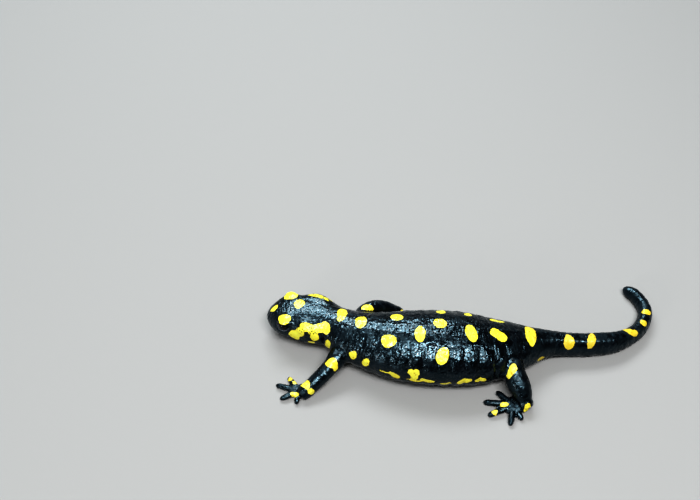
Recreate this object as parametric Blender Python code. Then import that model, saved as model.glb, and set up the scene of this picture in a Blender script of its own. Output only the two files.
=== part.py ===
"""A fire salamander at life size, as a still museum model.

The animal walks towards -X with its belly, feet and tail on the floor, which is z = 0.
+Y is its right side. The origin is on the floor under the middle of the belly.
All sizes below are in millimetres. The meshes are made in metres.
"""
import math

import bmesh
import bpy
import numpy as np
from mathutils import Vector

MM = 0.001
GAP = 0.3                   # clear width of the thin cuts between neighbouring pieces
SINK = 0.12                 # how far a toe or sole is pressed flat where it meets the floor

# ---- the midline, from snout to tail tip, seen from above: name, x, y
MIDLINE = (
    ("snout tip", -76.0, 18.7),
    ("eyes", -66.3, 17.2),
    ("jaw corner", -56.5, 15.1),
    ("neck", -46.5, 11.0),
    ("shoulders", -37.5, 6.2),
    ("ribs", -25.0, 2.4),
    ("belly", 0.0, 0.0),
    ("loin", 16.0, 0.0),
    ("hips", 30.0, 2.4),
    ("tail base", 44.0, 5.0),
    ("tail middle", 62.0, 5.1),
    ("tail bend", 76.0, 7.5),
    ("curl start", 87.5, 15.1),
    ("curl", 91.8, 24.6),
    ("curl end", 89.0, 33.1),
    ("tail tip", 84.8, 37.3),
)

# ---- girth along the midline: distance from the snout tip, then the size there
HALF_WIDTH = ((0, 7.6), (5, 8.8), (10, 9.6), (15, 10.0), (21, 10.6), (26, 10.2), (31, 9.4),
              (36, 10.6), (43, 12.1), (53, 14.2), (65, 16.2), (78, 16.9), (89, 16.4), (97, 15.2),
              (104, 13.0), (111, 10.6), (118, 7.7), (126, 5.5), (135, 4.7), (147, 4.6), (156, 4.1),
              (164, 3.4), (175, 3.1), (188, 2.9), (200, 2.6))
TOP = ((0, 11.6), (6, 14.0), (11, 15.4), (17, 16.4), (24, 16.9), (31, 17.2), (38, 18.6),
       (50, 21.0), (64, 22.6), (77, 22.9), (90, 21.5), (100, 19.0), (109, 16.1), (118, 13.2),
       (127, 11.2), (140, 10.4), (152, 9.2), (163, 7.2), (176, 6.2), (190, 5.6), (200, 5.0))
UNDERSIDE = ((0, 5.0), (8, 3.5), (20, 2.6), (30, 2.2), (37, 0.8), (47, -0.5), (95, -0.5),
             (106, 0.2), (116, 0.3), (126, -0.3), (200, -0.3))
SNOUT_HEIGHT = 8.4          # height of the foremost point of the snout
TAIL_TIP_HEIGHT = 2.2
SNOUT_ROUNDING = 10.0       # length over which the snout rounds out to its full width
SNOUT_BLUNTNESS = 5.0       # length over which it rounds up to its full height
TAIL_ROUNDING = 5.0
WIDEST = 0.46               # height of the widest line, as a share of the section's height
BACK_FULLNESS = 2.1         # exponents of the section's outline: 2 is an ellipse, more is squarer
BELLY_FULLNESS = 2.3

# ---- swellings of the head: distance from the snout tip, place round the section in degrees
# ---- from the widest line up, length, breadth in degrees, height
BROW = (9.4, 50, 3.3, 17, 2.7)
CANTHUS = (5.0, 48, 2.6, 16, 0.5)
PAROTOID = (19.5, 36, 5.4, 20, 1.6)
JAW = (18.0, -22, 5.0, 22, 0.6)

# ---- where the body is parted: node, start and end along the midline, rings, sides
LENGTHS = (
    ("head", 0.0, 27.0, 24, 26),
    ("neck", 27.0, 32.0, 3, 26),
    ("trunk", 32.0, 100.0, 20, 28),
    ("hips", 100.0, 118.0, 7, 28),
    ("tail_base", 118.0, 138.0, 7, 16),
    ("tail_middle", 138.0, 157.0, 6, 16),
    ("tail_bend", 157.0, 177.0, 8, 14),
    ("tail_tip", 177.0, None, 11, 14),
)

# ---- eyes
EYE_DISTANCE = 9.4          # from the snout tip, along the head
EYE_APART = 6.75            # from the midline to the eyeball's centre
EYE_HEIGHT = 12.0
EYE_RADIUS = 2.9

# ---- legs: joints from inside the body to the wrist or ankle, as (x, y, z, radius)
LEGS = {
    "foreleg_left": ((-40.8, 1.6, 8.6, 4.8), (-44.6, -3.2, 8.3, 4.4), (-48.2, -7.9, 7.2, 3.5),
                     (-52.6, -11.9, 5.1, 3.3), (-56.6, -15.2, 3.3, 3.1)),
    "foreleg_right": ((-37.0, 10.1, 8.8, 4.4), (-35.0, 16.1, 9.4, 3.9), (-31.2, 20.6, 9.4, 3.4),
                      (-25.6, 22.8, 7.2, 3.3), (-20.2, 23.2, 3.6, 3.0)),
    "hindleg_left": ((29.0, 1.1, 8.6, 5.2), (27.4, -6.4, 9.6, 5.0), (28.2, -13.0, 9.0, 4.8),
                     (30.4, -18.2, 6.3, 4.5), (31.8, -21.8, 3.6, 3.3)),
    "hindleg_right": ((29.0, 3.1, 8.0, 5.0), (25.6, 7.4, 8.0, 4.6), (21.4, 11.2, 7.0, 4.2),
                      (17.8, 14.7, 5.4, 3.8), (15.4, 17.2, 3.5, 3.2)),
}
LIMB_RINGS = 12
LIMB_SIDES = 12

# ---- feet: the leg each one ends, the middle of its palm, the palm's half-width and
# ---- half-height, and its toes as (degrees from +X towards +Y, reach from the middle of the
# ---- palm, radius at the base), from the innermost toe out
FEET = {
    "forefoot_left": ("foreleg_left", (-61.0, -16.2), 3.4, 1.5,
                      ((125, 8.6, 1.25), (161, 10.5, 1.3), (203, 8.6, 1.3), (258, 5.8, 1.2))),
    "forefoot_right": ("foreleg_right", (-15.8, 20.6), 3.4, 1.5,
                       ((62, 5.6, 1.2), (20, 8.2, 1.3), (-18, 8.6, 1.3), (-60, 6.0, 1.2))),
    "hindfoot_left": ("hindleg_left", (27.2, -23.0), 4.2, 1.7,
                      ((130, 9.2, 1.3), (170, 12.0, 1.4), (202, 11.4, 1.45), (257, 9.0, 1.4),
                       (298, 7.0, 1.3))),
    "hindfoot_right": ("hindleg_right", (10.8, 18.3), 4.2, 1.7,
                       ((236, 7.4, 1.3), (202, 10.4, 1.4), (173, 11.0, 1.45), (142, 8.8, 1.4),
                        (104, 6.4, 1.3))),
}
PALM_RINGS = 8
TOE_RINGS = 6
TOE_SIDES = 8
HEEL = 0.8                  # how far the heel reaches back, in wrist or ankle radii
TOE_ARCH = 0.35             # how far a toe rises at its knuckle

SKIN_BLACK = (0.012, 0.013, 0.016, 1.0)
SKIN_ROUGHNESS = 0.3
EYE_BLACK = (0.004, 0.004, 0.005, 1.0)
EYE_ROUGHNESS = 0.05


# ---- curves
def smooth_through(knots):
    """Return a function that runs smoothly through knots of (distance, value or values)."""
    at = np.array([knot[0] for knot in knots], float)
    values = np.array([knot[1] for knot in knots], float)
    slope = np.gradient(values, at, axis=0)

    def value(distance):
        i = int(np.clip(np.searchsorted(at, distance) - 1, 0, len(at) - 2))
        span = at[i + 1] - at[i]
        t = np.clip((distance - at[i]) / span, 0.0, 1.0)
        rise = values[i + 1] - values[i]
        start = slope[i] * span - rise
        end = rise - slope[i + 1] * span
        return values[i] + t * rise + t * (1 - t) * ((1 - t) * start + t * end)

    return value


def path_through(points):
    """Return a smooth path through points, by distance along them, and its length."""
    points = np.array(points, float)
    steps = np.linalg.norm(np.diff(points, axis=0), axis=1)
    at = np.concatenate(([0.0], np.cumsum(steps)))
    return smooth_through(list(zip(at, points))), at[-1]


def round_end(distance, rounding):
    """0 at a blunt end, growing to 1 where the piece has its full girth."""
    t = min(max(distance / rounding, 0.0), 1.0)
    return math.sqrt(1.0 - (1.0 - t) ** 2)


midline, BODY_LENGTH = path_through([(x, y) for _, x, y in MIDLINE])
half_width = smooth_through(HALF_WIDTH)
top = smooth_through(TOP)
underside = smooth_through(UNDERSIDE)


# ---- outlines
def frame_at(distance):
    """Point on the midline and the unit direction to the animal's right, both in plan."""
    ahead = midline(min(distance + 0.5, BODY_LENGTH))
    behind = midline(max(distance - 0.5, 0.0))
    along = (ahead - behind) / np.linalg.norm(ahead - behind)
    return midline(distance), np.array([-along[1], along[0]])


def swelling(distance, degrees):
    """Height of the head's brows, glands and jaw muscles at a place on the section."""
    height = 0.0
    for at, angle, length, breadth, rise in (BROW, CANTHUS, PAROTOID, JAW):
        for side_angle in (angle, 180 - angle):
            turn = (degrees - side_angle + 180) % 360 - 180
            height += rise * math.exp(-((distance - at) / length) ** 2 - (turn / breadth) ** 2)
    return height


def body_ring(distance, sides, grow):
    """One section of the body: a closed outline in the upright plane across the midline."""
    centre, right = frame_at(distance)
    tail_end = round_end(BODY_LENGTH - distance, TAIL_ROUNDING)
    breadth = min(round_end(distance, SNOUT_ROUNDING), tail_end)
    depth = min(round_end(distance, SNOUT_BLUNTNESS), tail_end)
    tip = SNOUT_HEIGHT if distance < BODY_LENGTH / 2 else TAIL_TIP_HEIGHT
    width = half_width(distance) * breadth + grow
    high = tip + (top(distance) - tip) * depth + grow
    low = tip + (underside(distance) - tip) * depth - grow
    waist = low + WIDEST * (high - low)
    ring = []
    for step in range(sides):
        degrees = 360.0 * (step + 0.5) / sides
        across = math.cos(math.radians(degrees))
        up = math.sin(math.radians(degrees))
        fullness = BACK_FULLNESS if up > 0 else BELLY_FULLNESS
        reach = high - waist if up > 0 else waist - low
        side = width * math.copysign(abs(across) ** (2 / fullness), across)
        rise = reach * math.copysign(abs(up) ** (2 / fullness), up)
        swell = 1 + swelling(distance, degrees) * breadth / math.hypot(side, rise)
        x, y = centre + right * side * swell
        ring.append((x, y, max(waist + rise * swell, 0.0)))
    return ring


def tube_ring(centre, along, half_across, half_up, sides):
    """A round or oval outline across a limb, palm or toe; it never reaches below the floor."""
    along = Vector(along).normalized()
    side = along.cross(Vector((0, 0, 1))).normalized()
    up = side.cross(along)
    ring = []
    for step in range(sides):
        angle = 2 * math.pi * step / sides
        point = Vector(centre) + side * half_across * math.cos(angle) + up * half_up * math.sin(angle)
        ring.append((point.x, point.y, max(point.z, 0.0)))
    return ring


# ---- meshes
def add_object(name, shape):
    """Turn a bmesh into an object of the scene."""
    mesh = bpy.data.meshes.new(name)
    shape.to_mesh(mesh)
    shape.free()
    piece = bpy.data.objects.new(name, mesh)
    bpy.context.scene.collection.objects.link(piece)
    return piece


def loft(name, rings, start_point=None, end_point=None):
    """Skin a run of rings into one closed body, with flat or pointed ends."""
    shape = bmesh.new()
    rows = [[shape.verts.new(Vector(point) * MM) for point in ring] for ring in rings]
    sides = len(rows[0])
    for row, following in zip(rows, rows[1:]):
        for i in range(sides):
            j = (i + 1) % sides
            shape.faces.new((row[i], row[j], following[j], following[i]))
    for row, point in ((rows[0], start_point), (rows[-1], end_point)):
        if point is None:
            shape.faces.new(row)
        else:
            tip = shape.verts.new(Vector(point) * MM)
            for i in range(sides):
                shape.faces.new((row[i], row[(i + 1) % sides], tip))
    bmesh.ops.recalc_face_normals(shape, faces=shape.faces)
    return add_object(name, shape)


def finish(piece, colour, roughness):
    """Give a piece its own material and smooth shading."""
    material = bpy.data.materials.new(piece.name + "_finish")
    material.use_nodes = True
    shader = material.node_tree.nodes["Principled BSDF"]
    shader.inputs["Base Color"].default_value = colour
    shader.inputs["Roughness"].default_value = roughness
    shader.inputs["Metallic"].default_value = 0.0
    piece.data.materials.append(material)
    piece.data.shade_smooth()


def boolean(piece, other, operation):
    """Cut piece by other, or join other to it; other then only guides."""
    step = piece.modifiers.new(operation.lower() + "_" + other.name, "BOOLEAN")
    step.operation = operation
    step.solver = "EXACT"
    step.object = other
    other.hide_render = True
    other.display_type = "WIRE"


def body_length(name, start, end, rings, sides, grow=0.0):
    """One length of head, trunk or tail, between two cuts; its rings crowd at a blunt end."""
    first = start + GAP / 2
    last = BODY_LENGTH if end is None else end - GAP / 2
    shares = [step / rings for step in range(rings + 1)]
    start_point = end_point = None
    if start == 0:
        first = 0.0
        start_point = (*midline(0.0), SNOUT_HEIGHT)
        shares = [share ** 1.5 for share in shares[1:]]
    if end is None:
        end_point = (*midline(BODY_LENGTH), TAIL_TIP_HEIGHT)
        shares = [1 - (1 - share) ** 1.5 for share in shares[:-1]]
    sections = [body_ring(first + (last - first) * share, sides, grow) for share in shares]
    return loft(name, sections, start_point, end_point)


def ball(name, centre, radius):
    shape = bmesh.new()
    bmesh.ops.create_uvsphere(shape, u_segments=16, v_segments=10, radius=radius * MM)
    piece = add_object(name, shape)
    piece.location = Vector(centre) * MM
    return piece


def leg(name, joints, body_cutter):
    """A leg from inside the body to its wrist or ankle, with its inner end cut to the body.

    Returns its end, the way it points there, the radius there, and a grown copy of itself.
    """
    path, length = path_through([joint[:3] for joint in joints])
    marks = np.cumsum([0.0] + [math.dist(a[:3], b[:3]) for a, b in zip(joints, joints[1:])])
    radius = smooth_through([(mark, joint[3]) for mark, joint in zip(marks, joints)])
    end = path(length)
    along = (end - path(length - 0.6)) / 0.6
    made = []
    for part_name, grow in ((name, 0.0), (name + "_grown", GAP)):
        rings = []
        for step in range(LIMB_RINGS + 1):
            at = length * step / LIMB_RINGS
            way = path(min(at + 0.3, length)) - path(max(at - 0.3, 0.0))
            centre = path(at) + (along * grow if step == LIMB_RINGS else 0.0)
            rings.append(tube_ring(centre, way, radius(at) + grow, radius(at) + grow, LIMB_SIDES))
        made.append(loft(part_name, rings))
    boolean(made[0], body_cutter, "DIFFERENCE")
    finish(made[0], SKIN_BLACK, SKIN_ROUGHNESS)
    return end, along, radius(length), made[1]


def toe(name, middle, start, degrees, reach, radius):
    """A blunt toe that rises a little at its knuckle and comes down to the floor."""
    outward = np.array([math.cos(math.radians(degrees)), math.sin(math.radians(degrees)), 0.0])
    base = middle + outward * start
    tip = middle + outward * reach
    tip[2] = radius * 0.75 - SINK
    knuckle = base * 0.45 + tip * 0.55
    knuckle[2] += TOE_ARCH
    path, length = path_through([base, knuckle, tip])
    rings = []
    for step in range(TOE_RINGS):
        at = length * math.sin(step / TOE_RINGS * math.pi / 2)
        way = path(at + 0.2) - path(max(at - 0.2, 0.0))
        thick = radius * (1.0 - 0.15 * at / length) * round_end(length - at, radius * 1.3)
        rings.append(tube_ring(path(at), way, thick, thick * 0.9, TOE_SIDES))
    return loft(name, rings, None, tuple(tip))


def foot(name, leg_end, palm, palm_width, palm_height, toes):
    """A hand or foot: the wrist goes down into a flat oval palm, and toes fan out from that."""
    end, along, wrist_radius, leg_grown = leg_end
    middle = np.array((*palm, palm_height - SINK))
    heading = middle - end
    heading[2] = 0.0
    heading /= np.linalg.norm(heading)
    heel = np.array((end[0], end[1], middle[2])) - heading * wrist_radius * HEEL
    front = middle + heading * palm_width
    rings = []
    for step in range(1, PALM_RINGS):
        turn = math.pi * step / PALM_RINGS
        centre = (heel + front) / 2 - (front - heel) / 2 * math.cos(turn)
        bulge = math.sin(turn) ** 0.8
        rings.append(tube_ring(centre, heading, palm_width * bulge, palm_height * bulge, LIMB_SIDES))
    hand = loft(name, rings, tuple(heel), tuple(front))

    drop = max((end[2] - middle[2]) / -along[2], 1.0)
    rings = [tube_ring(end + along * share * drop, along, wrist_radius * girth,
                       wrist_radius * girth, LIMB_SIDES)
             for share, girth in ((-0.3, 1.0), (0.4, 1.0), (0.8, 0.85))]
    boolean(hand, loft(name + "_wrist", rings, None, tuple(end + along * drop)), "UNION")
    boolean(hand, leg_grown, "DIFFERENCE")
    for number, (degrees, reach, radius) in enumerate(toes, 1):
        digit = toe("%s_toe_%d" % (name, number), middle, palm_width * 0.3, degrees, reach, radius)
        boolean(hand, digit, "UNION")
    finish(hand, SKIN_BLACK, SKIN_ROUGHNESS)


# ---- the scene starts empty
for leftover in list(bpy.data.objects):
    bpy.data.objects.remove(leftover, do_unlink=True)

# ---- head, neck, trunk, hips and tail
body = {}
for node, start, end, rings, sides in LENGTHS:
    body[node] = body_length(node, start, end, rings, sides)
    finish(body[node], SKIN_BLACK, SKIN_ROUGHNESS)

# ---- eyeballs, each in a socket of the head
eye_middle, to_right = frame_at(EYE_DISTANCE)
for side_name, side in (("left", -1), ("right", 1)):
    centre = (*(eye_middle + to_right * EYE_APART * side), EYE_HEIGHT)
    finish(ball("eye_" + side_name, centre, EYE_RADIUS), EYE_BLACK, EYE_ROUGHNESS)
    boolean(body["head"], ball("socket_" + side_name, centre, EYE_RADIUS + GAP), "DIFFERENCE")

# ---- legs and feet; the body grown by the gap trims the legs' inner ends
cutters = {
    "foreleg": body_length("shoulders_grown", 30.0, 60.0, 9, 28, GAP),
    "hindleg": body_length("hips_grown", 92.0, 122.0, 12, 28, GAP),
}
leg_ends = {name: leg(name, joints, cutters[name.split("_")[0]]) for name, joints in LEGS.items()}
for name, (leg_name, palm, palm_width, palm_height, toes) in FEET.items():
    foot(name, leg_ends[leg_name], palm, palm_width, palm_height, toes)
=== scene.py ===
import math

import bmesh
import bpy
import numpy as np
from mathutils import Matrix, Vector, kdtree, noise
from mathutils.bvhtree import BVHTree


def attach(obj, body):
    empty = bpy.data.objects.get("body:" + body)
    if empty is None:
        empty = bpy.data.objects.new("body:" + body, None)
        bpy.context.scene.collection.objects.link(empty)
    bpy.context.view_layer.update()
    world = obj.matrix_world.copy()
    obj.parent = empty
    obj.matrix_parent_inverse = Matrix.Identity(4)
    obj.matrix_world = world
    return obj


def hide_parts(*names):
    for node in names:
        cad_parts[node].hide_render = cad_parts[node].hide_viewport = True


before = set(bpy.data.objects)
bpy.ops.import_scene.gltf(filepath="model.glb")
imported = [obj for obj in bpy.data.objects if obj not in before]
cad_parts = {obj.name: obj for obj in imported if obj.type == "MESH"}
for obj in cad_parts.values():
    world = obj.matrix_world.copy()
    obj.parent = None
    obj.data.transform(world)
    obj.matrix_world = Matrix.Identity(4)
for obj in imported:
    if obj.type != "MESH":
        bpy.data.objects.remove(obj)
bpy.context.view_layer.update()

# ==== The body in the rough ==================================================================
# A fire salamander is one soft round body with four stout legs, under a single unbroken hide.
# The parted solids swell a little so that the gaps between them close, and one even surface is
# cast over all of them. Work goes on in millimetres until the hide is finished.
MM = 0.001
SEAL = 0.34
GRAIN = 0.60
SAME_CORNER = 0.002
EYES = ("eye_left", "eye_right")
flesh = sorted(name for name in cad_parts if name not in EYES)


def solid_shape(names):
    """The named solids as one bmesh, in millimetres, with their corners joined."""
    shape = bmesh.new()
    for name in names:
        shape.from_mesh(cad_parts[name].data)
    bmesh.ops.scale(shape, verts=shape.verts, vec=(1 / MM, 1 / MM, 1 / MM))
    bmesh.ops.remove_doubles(shape, verts=shape.verts, dist=SAME_CORNER)
    bmesh.ops.recalc_face_normals(shape, faces=shape.faces)
    shape.normal_update()
    return shape


swollen = solid_shape(flesh + list(EYES))
for corner in swollen.verts:
    corner.co += corner.normal * SEAL
rough = bpy.data.meshes.new("rough")
swollen.to_mesh(rough)
swollen.free()
skin = bpy.data.objects.new("skin", rough)
bpy.context.scene.collection.objects.link(skin)
cast = skin.modifiers.new("cast", "REMESH")
cast.mode = "VOXEL"
cast.voxel_size = GRAIN
cast.adaptivity = 0.0
skin.data = bpy.data.meshes.new_from_object(
    skin.evaluated_get(bpy.context.evaluated_depsgraph_get()))
skin.modifiers.clear()


def keep_outer_shell(mesh):
    """Delete everything but the largest connected surface."""
    shape = bmesh.new()
    shape.from_mesh(mesh)
    shape.verts.ensure_lookup_table()
    shell = np.full(len(shape.verts), -1)
    sizes = []
    for first in shape.verts:
        if shell[first.index] >= 0:
            continue
        shell[first.index] = len(sizes)
        waiting = [first]
        size = 0
        while waiting:
            corner = waiting.pop()
            size += 1
            for edge in corner.link_edges:
                other = edge.other_vert(corner)
                if shell[other.index] < 0:
                    shell[other.index] = len(sizes)
                    waiting.append(other)
        sizes.append(size)
    outer = int(np.argmax(sizes))
    loose = [corner for corner in shape.verts if shell[corner.index] != outer]
    bmesh.ops.delete(shape, geom=loose, context="VERTS")
    shape.to_mesh(mesh)
    shape.free()


keep_outer_shell(skin.data)


# ==== The hide drawn smooth ==================================================================
# Living skin has no facets: it runs over muscle in slow curves, tighter on fingers than on the
# back. The surface is relaxed, less on the toes, and then brought back onto the solids, so that
# length, girth and height stay true.
def read_points(mesh):
    flat = np.empty(len(mesh.vertices) * 3, np.float32)
    mesh.vertices.foreach_get("co", flat)
    return flat.reshape(-1, 3).astype(float)


def read_edges(mesh):
    flat = np.empty(len(mesh.edges) * 2, np.int32)
    mesh.edges.foreach_get("vertices", flat)
    return flat.reshape(-1, 2)


def write_points(mesh, points):
    mesh.vertices.foreach_set("co", points.astype(np.float32).ravel())
    mesh.update()


def outward(mesh):
    """The surface's unit normal at every vertex."""
    flat = np.empty(len(mesh.vertices) * 3, np.float32)
    mesh.vertex_normals.foreach_get("vector", flat)
    return flat.reshape(-1, 3).astype(float)


def relax(values, edges, rounds, share=1.0):
    """Draw values, or points, towards the mean of their neighbours' a number of times."""
    values = np.array(values, float)
    rows = values.reshape(len(values), -1)
    share = np.broadcast_to(np.asarray(share, float), (len(rows),))[:, None]
    one, two = edges[:, 0], edges[:, 1]
    count = np.bincount(edges.ravel(), minlength=len(rows))[:, None]
    for _ in range(rounds):
        total = np.stack([np.bincount(one, row[two], len(rows))
                          + np.bincount(two, row[one], len(rows)) for row in rows.T], axis=1)
        rows += (total / count - rows) * share
    return rows.reshape(values.shape)


def step_up(low, high, values):
    """0 below low, 1 above high, and a smooth rise between."""
    t = np.clip((values - low) / (high - low), 0.0, 1.0)
    return t * t * (3 - 2 * t)


def solid_tree():
    """A search tree of the solids, and the node that each of its faces belongs to."""
    corners, faces, owner = [], [], []
    for name in flesh:
        shape = solid_shape([name])
        shape.verts.index_update()
        base = len(corners)
        corners += [corner.co.copy() for corner in shape.verts]
        for face in shape.faces:
            faces.append([base + corner.index for corner in face.verts])
            owner.append(name)
        shape.free()
    return BVHTree.FromPolygons(corners, faces), owner


tree, owner = solid_tree()


def measure_to_solids(mesh, points):
    """How far each point stands outside the solids, and which node it lies over."""
    normals = outward(mesh)
    gap = np.empty(len(points))
    over = []
    for i, point in enumerate(points):
        place, _, face, distance = tree.find_nearest(Vector(point))
        side = (point - np.array(place)) @ normals[i]
        gap[i] = math.copysign(distance, side)
        over.append(owner[face])
    return gap, np.array(over)


FEET = ("forefoot_left", "forefoot_right", "hindfoot_left", "hindfoot_right")
LEGS = ("foreleg_left", "foreleg_right", "hindleg_left", "hindleg_right")
SMOOTHING_ROUNDS = 14
FIRM_FEET = 0.86
FIRM_TAIL_TIP = 0.35
FIRM_HEAD = 0.15
points = read_points(skin.data)
edges = read_edges(skin.data)
gap, over = measure_to_solids(skin.data, points)
on_feet = relax(np.isin(over, FEET).astype(float), edges, 4)
on_tail_tip = relax((over == "tail_tip").astype(float), edges, 8)
on_head = relax((over == "head").astype(float), edges, 6)
softness = 1.0 - FIRM_FEET * on_feet - FIRM_TAIL_TIP * on_tail_tip - FIRM_HEAD * on_head
points = relax(points, edges, SMOOTHING_ROUNDS, softness)
write_points(skin.data, points)
for _ in range(3):
    gap, over = measure_to_solids(skin.data, points)
    broad, close = relax(gap, edges, 7), relax(gap, edges, 1)
    points -= outward(skin.data) * (broad + (close - broad) * on_feet)[:, None]
    write_points(skin.data, points)


# ==== Finer squares for the head and the toes ================================================
# The head, the hands and the feet carry the finest forms: lids, lips, nostrils and knuckles.
# There the surface is divided once, and round the eyes, lips and nostrils once more.
def divide(mesh, chosen):
    """Split every edge whose two ends are both chosen."""
    shape = bmesh.new()
    shape.from_mesh(mesh)
    split = [edge for edge in shape.edges
             if chosen[edge.verts[0].index] and chosen[edge.verts[1].index]]
    bmesh.ops.subdivide_edges(shape, edges=split, cuts=1, use_grid_fill=True)
    shape.to_mesh(mesh)
    shape.free()


def carry(tree_points, values, points):
    """Values held at tree_points, read off at the nearest of them to each point."""
    search = kdtree.KDTree(len(tree_points))
    for i, place in enumerate(tree_points):
        search.insert(place, i)
    search.balance()
    return values[[search.find(place)[1] for place in points]]


FINELY_FORMED = ("head",) + FEET
TOES_PROUD = 0.12
divide(skin.data, np.isin(over, FINELY_FORMED))
coarse_points, coarse_over = points, over
points = read_points(skin.data)
edges = read_edges(skin.data)
over = carry(coarse_points, coarse_over, points)
fine = relax(np.isin(over, FINELY_FORMED).astype(float), edges, 2)
points = relax(points, edges, 2, fine * 0.8)
write_points(skin.data, points)
on_feet = relax(np.isin(over, FEET).astype(float), edges, 6)
for _ in range(2):
    gap, _ = measure_to_solids(skin.data, points)
    points -= outward(skin.data) * ((relax(gap, edges, 2) - TOES_PROUD) * on_feet)[:, None]
    write_points(skin.data, points)


# ==== Where each point lies on the animal ====================================================
# The form is laid out from the line of the back: so far along it from the snout, and so far
# round from its ridge, positive towards the left. The trunk lies straight, the head turns a
# little to the right, and the tail curls round behind.
MIDLINE = (
    (-76.0, 18.7), (-66.3, 17.2), (-56.5, 15.1), (-46.5, 11.0), (-37.5, 6.2), (-25.0, 2.4),
    (0.0, 0.0), (16.0, 0.0), (30.0, 2.4), (44.0, 5.0), (62.0, 5.1), (76.0, 7.5), (87.5, 15.1),
    (91.8, 24.6), (89.0, 33.1), (84.8, 37.3))
CORE_HEIGHT = ((0, 8.4), (10, 9.0), (31, 9.3), (50, 10.0), (77, 11.0), (100, 9.6), (118, 6.6),
               (140, 5.2), (163, 3.5), (190, 2.6), (200, 2.2))
CORE_RADIUS = ((0, 5.0), (10, 8.0), (24, 9.0), (31, 8.8), (50, 12.0), (77, 14.0), (100, 11.4),
               (118, 6.8), (140, 5.0), (163, 3.5), (200, 2.6))


def smooth_through(knots):
    """A function that runs smoothly through knots of (distance, value or values)."""
    at = np.array([knot[0] for knot in knots], float)
    values = np.array([knot[1] for knot in knots], float)
    slope = np.gradient(values, at, axis=0)

    def value(distance):
        distance = np.clip(np.asarray(distance, float), at[0], at[-1])
        i = np.clip(np.searchsorted(at, distance) - 1, 0, len(at) - 2)
        span = at[i + 1] - at[i]
        t = (distance - at[i]) / span
        if values.ndim > 1:
            span, t = span[..., None], t[..., None]
        rise = values[i + 1] - values[i]
        start = slope[i] * span - rise
        end = rise - slope[i + 1] * span
        return values[i] + t * rise + t * (1 - t) * ((1 - t) * start + t * end)

    return value


marks = np.cumsum([0.0] + [math.dist(a, b) for a, b in zip(MIDLINE, MIDLINE[1:])])
BODY_LENGTH = marks[-1]
midline = smooth_through(list(zip(marks, MIDLINE)))
core_height = smooth_through(CORE_HEIGHT)
core_radius = smooth_through(CORE_RADIUS)


def heading(along):
    """Unit direction down the midline, from snout to tail, in plan."""
    step = midline(np.asarray(along, float) + 0.4) - midline(np.asarray(along, float) - 0.4)
    return step / np.linalg.norm(step, axis=-1, keepdims=True)


def lay_out(points):
    """Each point's distance along the body, distance to its left, and degrees round it."""
    at = np.arange(0.0, BODY_LENGTH, 0.25)
    places = midline(at)
    ways = heading(np.clip(at, 0.4, BODY_LENGTH - 0.4))
    search = kdtree.KDTree(len(at))
    for i, place in enumerate(places):
        search.insert((*place, 0.0), i)
    search.balance()
    near = np.array([search.find((x, y, 0.0))[1] for x, y in points[:, :2]])
    offset = points[:, :2] - places[near]
    along = at[near] + np.einsum("ij,ij->i", offset, ways[near])
    left = ways[near][:, 0] * -offset[:, 1] + ways[near][:, 1] * offset[:, 0]
    round_ = np.degrees(np.arctan2(left, points[:, 2] - core_height(along)))
    return along, left, round_


along, left, turn = lay_out(points)


# ==== Eyes' and mouth's neighbourhood, divided once more =====================================
# The eyes stand at the sides of the head, about a quarter of the way from the snout to the
# shoulder, and look out sideways, a little forward and up. The mouth runs back below them and
# ends well behind.
EYE_ALONG = 9.4
EYE_ASIDE = 6.75
EYE_HEIGHT = 12.0
EYE_RADIUS = 2.9
LOOK_ASIDE = 0.90
LOOK_AHEAD = 0.26
LOOK_UP = 0.34
MOUTH_LINE = smooth_through(((-2, 6.5), (3, 6.3), (9, 5.8), (15, 5.9), (19, 6.5), (22, 7.5)))
MOUTH_CORNER = 20.5
NOSTRILS = ((1.5, 2.9, 9.4), (1.5, -2.9, 9.4))


def eye_frame(side):
    """Centre of an eyeball and the directions it looks in, ahead and up; side 1 is left."""
    way = np.array((*heading(EYE_ALONG), 0.0))
    to_left = np.array((way[1], -way[0], 0.0))
    centre = np.array((*midline(EYE_ALONG), EYE_HEIGHT)) + to_left * EYE_ASIDE * side
    look = to_left * side * LOOK_ASIDE - way * LOOK_AHEAD + np.array((0.0, 0.0, LOOK_UP))
    look /= np.linalg.norm(look)
    ahead = -way - look * (-way @ look)
    ahead /= np.linalg.norm(ahead)
    lift = np.cross(look, ahead) * -side
    lift *= math.copysign(1.0, lift[2])
    return centre, look, ahead, lift


def place_beside(at, aside, height):
    """A point beside the midline, in millimetres; aside is positive to the left."""
    way = heading(at)
    return np.array((*(midline(at) + np.array((way[1], -way[0])) * aside), height))


NEAR_EYE = 4.5
NEAR_NOSTRIL = 1.5
NEAR_LIPS = 0.8
near_face = np.zeros(len(points), bool)
for side in (1, -1):
    near_face |= np.linalg.norm(points - eye_frame(side)[0], axis=1) < NEAR_EYE
for place in NOSTRILS:
    near_face |= np.linalg.norm(points - place_beside(*place), axis=1) < NEAR_NOSTRIL
near_lips = (along < MOUTH_CORNER + 1.5) & (np.abs(points[:, 2] - MOUTH_LINE(along)) < NEAR_LIPS)
near_face |= near_lips & (over == "head")
divide(skin.data, near_face)
once_points, once_over = points, over
points = read_points(skin.data)
edges = read_edges(skin.data)
over = carry(once_points, once_over, points)
fine = relax(carry(once_points, near_face, points).astype(float), edges, 2)
points = relax(points, edges, 2, fine * 0.8)
write_points(skin.data, points)
along, left, turn = lay_out(points)
on_head = relax((over == "head").astype(float), edges, 10)
on_limb = relax(np.isin(over, LEGS + FEET).astype(float), edges, 4)
on_feet = relax(np.isin(over, FEET).astype(float), edges, 4)


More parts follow.
